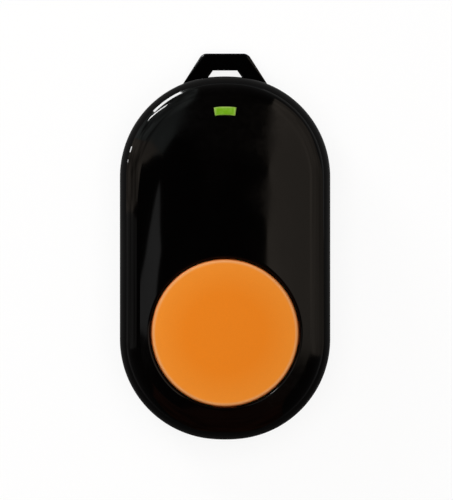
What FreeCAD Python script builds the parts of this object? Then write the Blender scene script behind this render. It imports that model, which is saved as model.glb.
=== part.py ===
import FreeCAD, Part
import math
import os
from FreeCAD import Vector

# A wireless panic button: a key fob with one large thumb button, lying on its back.
# The origin is the middle of the back face. X runs across the fob, Y towards the lanyard
# loop and Z out of the button side. Every size is in millimetres, every angle in degrees.

# Outline of the body, seen from the front
body_width = 38.0
body_length = 65.6
body_depth = 14.0
shoulder_spread = 0.9  # half the distance between the centres of two shoulder arcs
end_flattening = 9.1  # how much larger the radius of an end arc is than that of a shoulder

# Front face, curved a little both ways, and its edges
crown_radius_across = 180.0
crown_radius_along = 600.0
front_round = 4.0
front_wall = 1.6
parting_height = 5.2

# Rear cover
rear_setback = 0.2  # how far the rear cover's side stands inside the front housing's
rear_round = 1.6
rear_wall = 1.5
rear_floor = 1.5
shadow_line_height = 0.3
shadow_line_depth = 0.3

# Tongue of the rear cover, its rebate in the front housing, and the gasket above it
tongue_wall = 0.7
tongue_height = 1.0
tongue_play = 0.05
rebate_depth = 0.8
gasket_height = 0.6
gasket_play = 0.03

# Lanyard loop on the rear cover
loop_reach = 4.27
loop_bar = 3.04
loop_half_width = 4.13
loop_flank_angle = 32.5
loop_corner = 1.4
loop_height = 0.6
loop_thickness = 2.8
loop_edge = 0.5
slot_half_width = 2.2
slot_flank_angle = 35.0
slot_edge = 0.3

# Thumb button
button_from_end = 19.3
button_radius = 13.3
button_gap = 0.2
button_travel = 0.5
button_proud = 0.2
button_thickness = 1.4
button_edge = 0.5
skirt_wall = 1.2
skirt_height = 1.5
rib_thickness = 0.9
rib_count = 8
hub_radius = 4.4
hub_height = 0.6
post_radius = 1.3
post_play = 0.05  # what is left between the post and the switch when both are pressed
tab_reach = 0.8
tab_height = 0.7
tab_half_angle = 9.0
tab_count = 4
tab_play = 0.05
lip_round = 0.45
collar_wall = 0.8
collar_height = 0.5

# Screws, and the columns that they pass through
screw_length = 8.0
screw_radius = 1.0
screw_tip = 0.5
screw_head_radius = 1.8
screw_head_height = 1.3
screw_head_round = 0.4
screw_play = 0.02
recess_length = 2.2
recess_width = 0.45
recess_depth = 0.7
boss_radius = 1.9
boss_from_bore = 0.16
boss_diagonal = 45.0
head_seat_height = 3.2
head_play = 0.2
shank_play = 0.12
column_wall = 0.6
column_floor = 0.9

# Coin cell and its contacts
cell_radius = 12.25
cell_height = 5.0
cell_step_radius = 10.6
cell_step_height = 0.35
cell_edge = 0.4
cell_from_button = 8.5
clip_thickness = 0.25
clip_width = 7.0
clip_foot = 1.4
clip_play = 0.1
leaf_thickness = 0.15
leaf_width = 3.2
leaf_room = 0.55
leaf_half_length = 5.5
leaf_foot = 3.0
leaf_tip = 1.4
holder_wall = 1.2
holder_play = 0.1
holder_rise = 0.6
holder_notch_width = 9.0

# Circuit board and what it carries
board_thickness = 1.0
board_play = 0.4
board_hole_play = 0.15
chip_size = 5.0
chip_height = 0.85
chip_chamfer = 0.12
chip_mark_radius = 0.3
chip_mark_depth = 0.08
chip_from_button = 24.5
part_spacing = 1.7
crystal_length = 3.2
crystal_width = 2.5
crystal_height = 0.8
crystal_base = 0.3
crystal_lip = 0.2
crystal_corner = 0.5
antenna_length = 8.0
antenna_width = 2.0
antenna_height = 1.0
antenna_end = 0.9
antenna_step = 0.08
antenna_beyond_chip = 9.2
reservoir_length = 3.5
reservoir_width = 2.8
reservoir_height = 1.9
reservoir_taper = 0.15
reservoir_beside_chip = 8.4
small_length = 1.6
small_width = 0.8
capacitor_height = 0.8
resistor_height = 0.45
small_end = 0.3
small_step = 0.04
capacitor_count = 5
resistor_count = 4

# Click switch under the button
switch_size = 5.2
switch_base_height = 1.1
switch_floor = 0.3
switch_pocket_radius = 2.05
switch_corner = 0.5
switch_plate = 0.2
switch_side = 0.15
switch_flap_width = 2.6
switch_flap_height = 0.9
plunger_radius = 1.45
plunger_play = 0.05
plunger_flange = 0.35
plunger_flange_height = 0.3
plunger_height = 0.35  # how far the plunger stands above the switch's plate
plunger_travel = 0.25
plunger_edge = 0.12
snap_radius = 1.9
snap_thickness = 0.08
lead_width = 0.7
lead_thickness = 0.15
lead_reach = 0.9
lead_pitch = 3.7

# Silicone dome that lifts the button back
dome_base_radius = 7.0
dome_base_height = 0.6
dome_base_wall = 1.5
dome_web = 0.7
dome_top_wall = 1.3
dome_top_height = 0.6

# Indicator window and its lamp
window_from_end = 5.52
window_depth = 1.5
window_half_angle = 9.35
window_corner = 0.2
window_play = 0.05
flange_reach = 0.7
flange_height = 0.6
lamp_length = 3.2
lamp_width = 1.6
lamp_height = 0.9
lamp_base = 0.4
lamp_taper = 0.2
lamp_gap = 0.25

# Places and sizes worked out from the ones above
margin = 1.0  # how far a cutting shape runs past what it cuts
shoulder_radius = body_width / 2 - shoulder_spread
end_radius = shoulder_radius + end_flattening
end_centre = body_length / 2 - end_radius
shoulder_centre = end_centre + math.sqrt(end_flattening**2 - shoulder_spread**2)

button_place = button_from_end - body_length / 2
bore_radius = button_radius + button_gap
collar_radius = bore_radius + collar_wall

cell_bottom = rear_floor + clip_play + clip_thickness
cell_top = cell_bottom + cell_height
board_bottom = cell_top + leaf_room
board_top = board_bottom + board_thickness
cell_place = button_place + cell_from_button

screw_reach = bore_radius + boss_from_bore + boss_radius
screw_across = screw_reach * math.cos(math.radians(boss_diagonal))
screw_along = screw_reach * math.sin(math.radians(boss_diagonal)) - button_place

switch_top = board_top + switch_base_height + switch_plate
plunger_top = switch_top + plunger_height
post_bottom = plunger_top + button_travel - plunger_travel + post_play

tongue_top = parting_height + tongue_height
rebate_top = tongue_top + gasket_height

window_outer = body_length / 2 - window_from_end - shoulder_centre
window_inner = window_outer - window_depth
lamp_place = shoulder_centre + (window_outer + window_inner) / 2
chip_place = button_place + chip_from_button


def crown_height(x, y, inset):
    # Height of the curved front face, or of the face that lies inset below it.
    across = math.sqrt((crown_radius_across - inset) ** 2 - x**2)
    ring = crown_radius_along - crown_radius_across + across
    return body_depth - crown_radius_along + math.sqrt(ring**2 - y**2)


button_underside = crown_height(0, button_place, -button_proud) - button_thickness
collar_bottom = crown_height(bore_radius, button_place, front_wall) - collar_height
tab_top = collar_bottom - tab_play
skirt_bottom = button_underside - skirt_height
hub_bottom = button_underside - hub_height


def outline_wire(inset, z):
    # A stadium with slightly flattened ends: two sides, four shoulder arcs, two end arcs.
    side = body_width / 2 - inset
    shoulder = shoulder_radius - inset
    end = end_radius - inset
    lean_x = shoulder_spread / end_flattening
    lean_y = (shoulder_centre - end_centre) / end_flattening
    middle = Vector(1 + lean_x, lean_y, 0).normalize() * shoulder

    def corner(x_sign, y_sign):
        start = Vector(x_sign * side, y_sign * shoulder_centre, z)
        half_way = Vector(
            x_sign * (shoulder_spread + middle.x), y_sign * (shoulder_centre + middle.y), z
        )
        finish = Vector(x_sign * end * lean_x, y_sign * (end_centre + end * lean_y), z)
        return start, half_way, finish

    edges = []
    for y_sign in (1, -1):
        right = corner(1, y_sign)
        left = corner(-1, y_sign)
        tip = Vector(0, y_sign * (end_centre + end), z)
        edges.append(Part.Arc(*right).toShape())
        edges.append(Part.Arc(right[2], tip, left[2]).toShape())
        edges.append(Part.Arc(*left).toShape())
    for x_sign in (1, -1):
        upper = Vector(x_sign * side, shoulder_centre, z)
        lower = Vector(x_sign * side, -shoulder_centre, z)
        edges.append(Part.LineSegment(upper, lower).toShape())
    return Part.Wire(Part.__sortEdges__(edges))


def outline_block(inset, low, high):
    return Part.Face(outline_wire(inset, low)).extrude(Vector(0, 0, high - low))


def outline_ring(outer_inset, inner_inset, low, high):
    return outline_block(outer_inset, low, high).cut(outline_block(inner_inset, low, high))


def disc(radius, place, low, high):
    return Part.makeCylinder(radius, high - low, Vector(0, place, low))


def centred_box(length, width, low, high, x=0.0, y=0.0):
    return Part.makeBox(length, width, high - low, Vector(x - length / 2, y - width / 2, low))


def crown_block(inset):
    # Everything below the curved front face: its cross profile, swung about a far axis.
    reach = body_width
    across = crown_radius_across - inset
    edge_drop = across - math.sqrt(across**2 - reach**2)
    top = body_depth - inset
    left = Vector(-reach, 0, top - edge_drop)
    right = Vector(reach, 0, top - edge_drop)
    floor_left = Vector(-reach, 0, -body_depth)
    floor_right = Vector(reach, 0, -body_depth)
    profile = Part.Wire(
        [
            Part.Arc(left, Vector(0, 0, top), right).toShape(),
            Part.LineSegment(right, floor_right).toShape(),
            Part.LineSegment(floor_right, floor_left).toShape(),
            Part.LineSegment(floor_left, left).toShape(),
        ]
    )
    axis_point = Vector(0, 0, body_depth - crown_radius_along)
    axis = Vector(1, 0, 0)
    swing = math.degrees(math.asin(body_length / crown_radius_along))
    face = Part.Face(profile)
    face.rotate(axis_point, axis, -swing)
    return face.revolve(axis_point, axis, 2 * swing)


def topmost_face(shape):
    return max(shape.Faces, key=lambda face: face.CenterOfMass.z)


def rounded(shape, radius, keep_edge):
    return shape.makeFillet(radius, [edge for edge in shape.Edges if keep_edge(edge)])


def housing_block(inset, low):
    # The front housing as a solid form. The cavity is the same form, a wall further in.
    block = outline_block(inset, low, body_depth).common(crown_block(inset))
    return block.makeFillet(front_round - inset, topmost_face(block).Edges)


def screw_places():
    places = []
    for x_sign in (1, -1):
        for y_sign in (1, -1):
            places.append(Vector(x_sign * screw_across, y_sign * screw_along, 0))
    return places


def column(radius, low, high, place):
    return Part.makeCylinder(radius, high - low, Vector(place.x, place.y, low))


def window_block(grow, low, high):
    # A short arched bar that follows the end of the fob.
    centre = Vector(0, shoulder_centre, low)
    outer = window_outer + grow
    inner = window_inner - grow
    spread = window_half_angle + math.degrees(grow / window_outer)
    wedge = Part.makeCylinder(outer, high - low, centre, Vector(0, 0, 1), 2 * spread)
    wedge.rotate(centre, Vector(0, 0, 1), 90 - spread)
    bar = wedge.cut(Part.makeCylinder(inner, high - low, centre))
    upright = [edge for edge in bar.Edges if edge.BoundBox.ZLength > (high - low) / 2]
    return bar.makeFillet(window_corner, upright)


def front_shell():
    form = housing_block(0, parting_height)
    cavity = housing_block(front_wall, parting_height - margin)
    rebate = outline_block(rebate_depth, parting_height - margin, rebate_top)
    shell = form.cut(cavity).cut(rebate)
    mid_wall = housing_block(front_wall / 2, parting_height)
    inside = [disc(collar_radius, button_place, collar_bottom, body_depth)]
    for place in screw_places():
        inside.append(column(boss_radius, board_top, body_depth, place))
    shell = shell.fuse([piece.common(mid_wall) for piece in inside])
    shell = shell.cut(disc(bore_radius, button_place, parting_height, body_depth + margin))
    shell = shell.cut(window_block(window_play, parting_height, body_depth + margin))
    hole_top = head_seat_height + screw_length + screw_play
    for place in screw_places():
        shell = shell.cut(column(screw_radius + screw_play, parting_height, hole_top, place))
    return round_bore_lip(shell.removeSplitter())


def round_bore_lip(shell):
    axis_point = Vector(0, button_place, 0)
    lowest = crown_height(bore_radius, button_place, front_wall / 2)

    def on_lip(edge):
        offset = edge.valueAt(edge.FirstParameter) - axis_point
        beside = abs(math.hypot(offset.x, offset.y) - bore_radius) < tab_play
        return beside and edge.BoundBox.ZMin > lowest

    return rounded(shell, lip_round, on_lip)


def loop_trapezoid(half_width, flank_angle, top, bottom):
    widening = (top - bottom) * math.tan(math.radians(flank_angle))
    corners = [
        Vector(-half_width, top, loop_height),
        Vector(half_width, top, loop_height),
        Vector(half_width + widening, bottom, loop_height),
        Vector(-half_width - widening, bottom, loop_height),
    ]
    wire = Part.makePolygon(corners + [corners[0]])
    return Part.Face(wire).extrude(Vector(0, 0, loop_thickness))


def lanyard_loop():
    top = body_length / 2 + loop_reach
    root = body_length / 2 - loop_reach
    loop = loop_trapezoid(loop_half_width, loop_flank_angle, top, root)

    def outer_corner(edge):
        return edge.BoundBox.ZLength > loop_thickness / 2 and edge.BoundBox.YMin > body_length / 2

    def flat_rim(edge):
        return edge.BoundBox.ZLength < loop_edge and edge.BoundBox.YMax > root + loop_edge

    loop = rounded(loop, loop_corner, outer_corner)
    loop = rounded(loop, loop_edge, flat_rim)
    slot_top = top - loop_bar
    loop = loop.cut(loop_trapezoid(slot_half_width, slot_flank_angle, slot_top, root - margin))

    def slot_rim(edge):
        box = edge.BoundBox
        inside = max(abs(box.XMin), abs(box.XMax)) < slot_half_width + slot_edge
        return box.ZLength < slot_edge and inside and abs(box.YMax - slot_top) < slot_edge

    return rounded(loop, slot_edge, slot_rim)


def screw_columns():
    # Wide round the counterbore, slim above it, and no further out than the middle of the wall.
    inside = outline_block(rear_setback + rear_wall / 2, 0, board_bottom + margin)
    wide = screw_head_radius + head_play + column_wall
    slim = screw_radius + shank_play + column_wall
    columns = []
    for place in screw_places():
        columns.append(column(wide, rear_floor, head_seat_height + column_floor, place).common(inside))
        columns.append(column(slim, rear_floor, board_bottom, place))
    return columns


def rear_cover():
    cover = outline_block(rear_setback, 0, parting_height)
    cover = rounded(cover, rear_round, lambda edge: edge.BoundBox.ZMax < rear_round / 2)
    inner = rear_setback + rear_wall
    cover = cover.cut(outline_block(inner, rear_floor, parting_height + margin))
    outer = rebate_depth + tongue_play
    tongue = outline_ring(outer, outer + tongue_wall, parting_height - tongue_height, tongue_top)
    loop = lanyard_loop().cut(outline_block(inner - rear_wall / 2, 0, parting_height))
    cover = cover.fuse([tongue, loop] + screw_columns())
    groove_low = parting_height - shadow_line_height
    groove_depth = rear_setback + shadow_line_depth
    cover = cover.cut(outline_ring(-margin, groove_depth, groove_low, parting_height + margin))
    for place in screw_places():
        cover = cover.cut(column(screw_head_radius + head_play, -margin, head_seat_height, place))
        cover = cover.cut(column(screw_radius + shank_play, 0, board_bottom + margin, place))
    return cover.removeSplitter()


def ring_sector(inner, outer, half_angle, middle_angle, low, high):
    # Part of a flat ring about the button's axis.
    centre = Vector(0, button_place, low)
    wedge = Part.makeCylinder(outer, high - low, centre, Vector(0, 0, 1), 2 * half_angle)
    wedge.rotate(centre, Vector(0, 0, 1), middle_angle - half_angle)
    return wedge.cut(Part.makeCylinder(inner, high - low, centre))


def panic_button():
    cap = disc(button_radius, button_place, skirt_bottom, body_depth + margin)
    cap = cap.common(crown_block(-button_proud))
    cap = cap.makeFillet(button_edge, topmost_face(cap).Edges)
    inner_radius = button_radius - skirt_wall
    cap = cap.cut(disc(inner_radius, button_place, skirt_bottom - margin, button_underside))
    inside = [
        disc(hub_radius, button_place, hub_bottom, button_underside),
        disc(post_radius, button_place, post_bottom, hub_bottom),
    ]
    axis_point = Vector(0, button_place, 0)
    for index in range(rib_count):
        rib = Part.makeBox(
            inner_radius + skirt_wall / 2 - hub_radius / 2,
            rib_thickness,
            hub_height,
            Vector(hub_radius / 2, button_place - rib_thickness / 2, hub_bottom),
        )
        rib.rotate(axis_point, Vector(0, 0, 1), index * 360 / rib_count)
        inside.append(rib)
    for index in range(tab_count):
        angle = index * 360 / tab_count
        outer = button_radius + tab_reach
        middle = button_radius - skirt_wall / 2
        inside.append(ring_sector(middle, outer, tab_half_angle, angle, tab_top - tab_height, tab_top))
    return cap.fuse(inside).removeSplitter()


def turned(points, place):
    # A closed profile of (radius, height) points, turned about an upright axis.
    corners = [Vector(radius, place, height) for radius, height in points]
    face = Part.Face(Part.makePolygon(corners + [corners[0]]))
    return face.revolve(Vector(0, place, 0), Vector(0, 0, 1), 360)


def silicone_return_dome():
    base_inner = dome_base_radius - dome_base_wall
    base_top = board_top + dome_base_height
    neck = hub_bottom - dome_top_height
    inner_top = hub_radius - dome_top_wall
    profile = [
        (dome_base_radius, board_top),
        (dome_base_radius, base_top),
        (base_inner + dome_web, base_top),
        (hub_radius, neck),
        (hub_radius, hub_bottom),
        (inner_top, hub_bottom),
        (inner_top, neck),
        (base_inner, board_top + dome_base_height / 2),
        (base_inner, board_top),
    ]
    return turned(profile, button_place)


def dome_arc(radius, apex, rim):
    # An arc from the middle of a shallow dome down to its rim.
    rise = apex - rim
    sphere = (radius**2 + rise**2) / (2 * rise)
    half_way = apex - sphere + math.sqrt(sphere**2 - (radius / 2) ** 2)
    top = Vector(0, button_place, apex)
    middle = Vector(radius / 2, button_place, half_way)
    return Part.Arc(top, middle, Vector(radius, button_place, rim)).toShape()


def upright_line(radius, low, high):
    return Part.makeLine(Vector(radius, button_place, low), Vector(radius, button_place, high))


def snap_dome():
    rim = board_top + switch_floor
    apex = flange_top() - plunger_flange_height
    upper = dome_arc(snap_radius, apex, rim + snap_thickness)
    lower = dome_arc(snap_radius, apex - snap_thickness, rim)
    edge = upright_line(snap_radius, rim, rim + snap_thickness)
    axis = upright_line(0, apex - snap_thickness, apex)
    face = Part.Face(Part.Wire(Part.__sortEdges__([upper, edge, lower, axis])))
    return face.revolve(Vector(0, button_place, 0), Vector(0, 0, 1), 360)


def flange_top():
    return board_top + switch_base_height - plunger_play / 2


def switch_base():
    base_top = board_top + switch_base_height
    base = centred_box(switch_size, switch_size, board_top, base_top, 0, button_place)
    base = rounded(base, switch_corner, lambda edge: edge.BoundBox.ZLength > switch_base_height / 2)
    return base.cut(disc(switch_pocket_radius, button_place, board_top + switch_floor, base_top))


def switch_frame():
    plate_low = board_top + switch_base_height
    plate = centred_box(switch_size, switch_size, plate_low, switch_top, 0, button_place)
    plate = rounded(plate, switch_corner, lambda edge: edge.BoundBox.ZLength > switch_plate / 2)
    wide = switch_size + 2 * switch_side
    strap_low = switch_top - switch_flap_height
    strap = centred_box(wide, switch_flap_width, strap_low, switch_top, 0, button_place)
    strap = strap.cut(centred_box(switch_size, switch_flap_width, strap_low, plate_low, 0, button_place))
    hole = disc(plunger_radius + plunger_play, button_place, plate_low - margin, switch_top + margin)
    return plate.fuse(strap).cut(hole).removeSplitter()


def switch_plunger():
    flange = disc(
        plunger_radius + plunger_flange, button_place, flange_top() - plunger_flange_height, flange_top()
    )
    stem = disc(plunger_radius, button_place, flange_top(), plunger_top)
    stem = stem.makeFillet(plunger_edge, topmost_face(stem).Edges)
    return flange.fuse(stem)


def switch_leads():
    leads = []
    side = switch_size / 2
    for x_sign in (1, -1):
        for y_sign in (1, -1):
            y = button_place + y_sign * lead_pitch / 2
            foot_x = x_sign * (side + lead_reach / 2)
            foot = centred_box(lead_reach, lead_width, board_top, board_top + lead_thickness, foot_x, y)
            riser_x = x_sign * (side + lead_thickness / 2)
            riser_top = board_top + switch_base_height / 2
            riser = centred_box(lead_thickness, lead_width, board_top, riser_top, riser_x, y)
            leads.append(foot.fuse(riser).removeSplitter())
    return Part.makeCompound(leads)


def circuit_board():
    board = outline_block(front_wall + board_play, board_bottom, board_top)
    hole = screw_radius + board_hole_play
    for place in screw_places():
        board = board.cut(column(hole, board_bottom, board_top, place))
    return board


def coin_cell():
    step = cell_top - cell_step_height
    can = disc(cell_radius, cell_place, cell_bottom, step)
    can = rounded(can, cell_edge, lambda edge: edge.BoundBox.ZMax < cell_bottom + cell_edge)
    can = can.makeChamfer(cell_edge, topmost_face(can).Edges)
    cap = disc(cell_step_radius, cell_place, step - cell_edge, cell_top)
    cap = cap.makeChamfer(cell_step_height / 2, topmost_face(cap).Edges)
    return can.fuse(cap).removeSplitter()


def cell_holder():
    inner = cell_radius + holder_play
    outer = inner + holder_wall
    low = cell_bottom + holder_rise
    ring = disc(outer, cell_place, low, board_bottom).cut(disc(inner, cell_place, low, cell_top))
    ring = ring.cut(disc(cell_radius - holder_wall / 2, cell_place, cell_top, board_bottom))
    notch_top = (low + cell_top) / 2
    notch = centred_box(holder_notch_width, 2 * (outer + margin), low, notch_top, 0, cell_place)
    return ring.cut(notch)


def bent_strip(corners, thickness, width, place):
    # A flat strip of metal that follows the corners, given as (across, height) pairs, and
    # takes its thickness to the left of that path.
    wire = Part.makePolygon([Vector(x, place - width / 2, z) for x, z in corners])
    face = wire.makeOffset2D(thickness, 0, True, True)
    return face.extrude(Vector(0, width, 0))


def positive_contact():
    half = cell_radius + holder_play + holder_wall + clip_play
    foot_end = half + clip_thickness + clip_foot
    corners = [
        (foot_end, board_bottom),
        (half, board_bottom),
        (half, cell_bottom),
        (-half, cell_bottom),
        (-half, board_bottom),
        (-foot_end, board_bottom),
    ]
    return bent_strip(corners, clip_thickness, clip_width, cell_place)


def negative_contact():
    foot = leaf_foot / 2
    flat_end = leaf_half_length - leaf_tip
    under = board_bottom - leaf_thickness
    corners = [
        (-leaf_half_length - leaf_room, cell_top + leaf_room / 2),
        (-leaf_half_length, cell_top),
        (-flat_end, cell_top),
        (-foot, under),
        (foot, under),
        (flat_end, cell_top),
        (leaf_half_length, cell_top),
        (leaf_half_length + leaf_room, cell_top + leaf_room / 2),
    ]
    return bent_strip(corners, leaf_thickness, leaf_width, cell_place)


def cover_screws():
    face_height = head_seat_height - screw_head_height
    tip = head_seat_height + screw_length
    head = Part.makeCylinder(screw_head_radius, screw_head_height, Vector(0, 0, face_height))
    outer_rim = face_height + screw_head_round
    head = rounded(head, screw_head_round, lambda edge: edge.BoundBox.ZMax < outer_rim)
    shank = Part.makeCylinder(screw_radius, screw_length - screw_tip, Vector(0, 0, head_seat_height))
    point = Part.makeCone(screw_radius, screw_radius / 2, screw_tip, Vector(0, 0, tip - screw_tip))
    screw = head.fuse([shank, point])
    recess_top = face_height + recess_depth
    screw = screw.cut(centred_box(recess_length, recess_width, face_height, recess_top))
    screw = screw.cut(centred_box(recess_width, recess_length, face_height, recess_top))
    screw = screw.removeSplitter()
    return Part.makeCompound([screw.translated(place) for place in screw_places()])


def housing_gasket():
    inset = rebate_depth + tongue_play
    return outline_ring(inset, inset + tongue_wall, tongue_top, rebate_top - gasket_play)


def indicator_window():
    pipe_low = board_top + lamp_height + lamp_gap
    pipe = window_block(0, pipe_low, body_depth + margin).common(housing_block(0, parting_height))
    flange_low = crown_height(0, lamp_place, front_wall) - flange_height
    flange = window_block(flange_reach, flange_low, body_depth)
    flange = flange.common(housing_block(front_wall + window_play, parting_height))
    return pipe.fuse(flange).removeSplitter()


def indicator_led():
    base = centred_box(lamp_length, lamp_width, board_top, board_top + lamp_base, 0, lamp_place)
    lens_low = board_top + lamp_base
    lens_high = board_top + lamp_height
    lens = centred_box(
        lamp_length - 2 * lamp_taper, lamp_width - lamp_taper, lens_low, lens_high, 0, lamp_place
    )
    lens = lens.makeChamfer(lamp_taper, topmost_face(lens).Edges)
    return base.fuse(lens).removeSplitter()


def end_capped_part(length, width, height, end, step):
    # A ceramic body along X, with a slightly thicker metal cap at each end, standing on the board.
    top = board_top + height
    body = centred_box(length - 2 * step, width - 2 * step, board_top, top - step)
    reach = (length - end) / 2
    caps = [centred_box(end, width, board_top, top, sign * reach) for sign in (1, -1)]
    return body.fuse(caps).removeSplitter()


def small_part_row(count, height, y):
    # Small parts side by side across the board, each one lying along it.
    part = end_capped_part(small_length, small_width, height, small_end, small_step)
    part.rotate(Vector(0, 0, 0), Vector(0, 0, 1), 90)
    first = -(count - 1) / 2 * part_spacing
    row = [part.translated(Vector(first + index * part_spacing, y, 0)) for index in range(count)]
    return Part.makeCompound(row)


def chip_capacitors():
    return small_part_row(capacitor_count, capacitor_height, chip_place + chip_size / 2 + part_spacing)


def chip_resistors():
    return small_part_row(resistor_count, resistor_height, chip_place - chip_size / 2 - part_spacing)


def radio_chip():
    top = board_top + chip_height
    chip = centred_box(chip_size, chip_size, board_top, top, 0, chip_place)
    chip = chip.makeChamfer(chip_chamfer, topmost_face(chip).Edges)
    mark_x = chip_size / 2 - 2 * chip_mark_radius - chip_chamfer
    mark_place = Vector(-mark_x, chip_place + mark_x, top - chip_mark_depth)
    return chip.cut(Part.makeCylinder(chip_mark_radius, chip_mark_depth, mark_place))


def timing_crystal():
    x = chip_size / 2 + part_spacing + crystal_width / 2
    base_top = board_top + crystal_base
    base = centred_box(crystal_width, crystal_length, board_top, base_top, x, chip_place)
    lid = centred_box(
        crystal_width - crystal_lip,
        crystal_length - crystal_lip,
        base_top,
        board_top + crystal_height,
        x,
        chip_place,
    )
    lid = rounded(lid, crystal_corner, lambda edge: edge.BoundBox.ZLength > crystal_base / 2)
    return base.fuse(lid).removeSplitter()


def chip_antenna():
    antenna = end_capped_part(
        antenna_length, antenna_width, antenna_height, antenna_end, antenna_step
    )
    return antenna.translated(Vector(0, chip_place + antenna_beyond_chip, 0))


def reservoir_capacitor():
    top = board_top + reservoir_height
    block = centred_box(
        reservoir_width, reservoir_length, board_top, top, -reservoir_beside_chip, chip_place
    )
    return block.makeChamfer(reservoir_taper, topmost_face(block).Edges)


def main():
    os.makedirs("parts", exist_ok=True)
    makers = [
        front_shell,
        rear_cover,
        panic_button,
        silicone_return_dome,
        indicator_window,
        indicator_led,
        housing_gasket,
        circuit_board,
        switch_base,
        switch_frame,
        switch_plunger,
        switch_leads,
        snap_dome,
        radio_chip,
        timing_crystal,
        chip_antenna,
        reservoir_capacitor,
        chip_capacitors,
        chip_resistors,
        coin_cell,
        cell_holder,
        positive_contact,
        negative_contact,
        cover_screws,
    ]
    for maker in makers:
        name = maker.__name__
        shape = maker()
        shape.exportStep("parts/" + name + ".step")
        print(name, len(shape.Solids), "solids", round(shape.Volume, 2), "mm3", shape.isValid())


main()
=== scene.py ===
import math

import bmesh
import bpy
import numpy as np
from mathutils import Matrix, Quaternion, Vector


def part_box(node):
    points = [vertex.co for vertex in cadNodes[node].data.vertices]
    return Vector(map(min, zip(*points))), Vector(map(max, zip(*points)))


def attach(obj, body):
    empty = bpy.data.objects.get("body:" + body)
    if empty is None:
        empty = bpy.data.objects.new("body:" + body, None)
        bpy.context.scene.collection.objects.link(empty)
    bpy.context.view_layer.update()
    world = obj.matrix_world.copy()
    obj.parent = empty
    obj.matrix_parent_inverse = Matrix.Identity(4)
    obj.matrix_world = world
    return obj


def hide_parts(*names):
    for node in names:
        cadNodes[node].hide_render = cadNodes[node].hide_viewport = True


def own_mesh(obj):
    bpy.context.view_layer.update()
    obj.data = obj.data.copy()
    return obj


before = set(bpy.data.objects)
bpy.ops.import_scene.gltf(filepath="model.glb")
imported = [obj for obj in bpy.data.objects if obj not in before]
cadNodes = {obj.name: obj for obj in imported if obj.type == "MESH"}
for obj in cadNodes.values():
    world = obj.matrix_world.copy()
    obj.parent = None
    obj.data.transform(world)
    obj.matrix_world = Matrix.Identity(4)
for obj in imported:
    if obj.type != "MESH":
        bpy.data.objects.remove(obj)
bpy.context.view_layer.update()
mm = 0.001  # sizes below are in millimetres, and meshes are in metres
near = 0.01  # closer than this counts as the same height
past = 1.0  # how far a cutting tool reaches beyond what it cuts

shellLow, shellHigh = (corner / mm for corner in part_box("front_shell"))
coverLow, coverHigh = (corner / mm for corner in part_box("rear_cover"))
buttonLow, buttonHigh = (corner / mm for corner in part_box("panic_button"))
windowLow, windowHigh = (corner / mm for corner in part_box("indicator_window"))
domeLow, domeHigh = (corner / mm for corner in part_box("silicone_return_dome"))
snapLow, snapHigh = (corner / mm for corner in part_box("snap_dome"))

up = Vector((0, 0, 1))
buttonCentre = Vector(((buttonLow.x + buttonHigh.x) / 2, (buttonLow.y + buttonHigh.y) / 2, 0))

# The fob's outline and its curved front face, which every outer piece follows
fob = {
    "shoulderSpread": 0.9,
    "endFlattening": 9.1,
    "crownAcross": 180.0,
    "crownAlong": 600.0,
    "spokes": 288,  # corners in each ring of the housing
    "walkSteps": 4000,  # how finely the outline is measured to place them
}

halfWidth = shellHigh.x
halfLength = shellHigh.y
topHeight = shellHigh.z
shoulderRadius = halfWidth - fob["shoulderSpread"]
endRadius = shoulderRadius + fob["endFlattening"]
endCentre = halfLength - endRadius
shoulderCentre = endCentre + math.sqrt(fob["endFlattening"] ** 2 - fob["shoulderSpread"] ** 2)
shoulderTurn = math.acos(fob["shoulderSpread"] / fob["endFlattening"])
quarterLength = (
    shoulderCentre + shoulderRadius * shoulderTurn + endRadius * (math.pi / 2 - shoulderTurn)
)


def outlineSpot(distance):
    # Point and outward normal, that far round the outline from the middle of the right side.
    quarter = int(distance // quarterLength) % 4
    along = distance % quarterLength
    if quarter in (1, 3):
        along = quarterLength - along
    turn = (along - shoulderCentre) / shoulderRadius
    if turn < 0:
        normal = Vector((1, 0, 0))
        point = Vector((halfWidth, along, 0))
    elif turn < shoulderTurn:
        normal = Vector((math.cos(turn), math.sin(turn), 0))
        point = Vector((fob["shoulderSpread"], shoulderCentre, 0)) + normal * shoulderRadius
    else:
        turn = shoulderTurn + (turn - shoulderTurn) * shoulderRadius / endRadius
        normal = Vector((math.cos(turn), math.sin(turn), 0))
        point = Vector((0, endCentre, 0)) + normal * endRadius
    mirror = Vector((-1 if quarter in (1, 2) else 1, -1 if quarter in (2, 3) else 1, 0))
    return point * mirror, normal * mirror


def spokeSpots(count):
    # Spots round the outline, spaced half by their distance and half by their angle seen
    # from the button, so that neither the far end nor the bore gets rough.
    walk = np.linspace(0, 4 * quarterLength, fob["walkSteps"] + 1)
    offsets = [outlineSpot(distance)[0] - buttonCentre for distance in walk[:-1]]
    angles = np.unwrap([math.atan2(offset.y, offset.x) for offset in offsets])
    angles = np.append(angles - angles[0], 2 * math.pi)
    measure = walk / walk[-1] / 2 + angles / (2 * math.pi) / 2
    chosen = np.interp(np.arange(count) / count, measure, walk)
    return [outlineSpot(distance) for distance in chosen]


def crownHeight(x, y, inset=0.0):
    # Height of the curved front face, or of the face that lies inset below it.
    across = math.sqrt((fob["crownAcross"] - inset) ** 2 - x**2)
    ring = fob["crownAlong"] - fob["crownAcross"] + across
    return topHeight - fob["crownAlong"] + math.sqrt(ring**2 - y**2)


def crownNormal(x, y):
    across = math.sqrt(fob["crownAcross"] ** 2 - x**2)
    ring = fob["crownAlong"] - fob["crownAcross"] + across
    height = math.sqrt(ring**2 - y**2)
    return Vector((x / across * ring / height, y / height, 1)).normalized()


def evenParts(steps):
    return [step / steps for step in range(steps + 1)]


spokes = spokeSpots(fob["spokes"])
boreDirections = [(point - buttonCentre).normalized() for point, normal in spokes]


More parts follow.
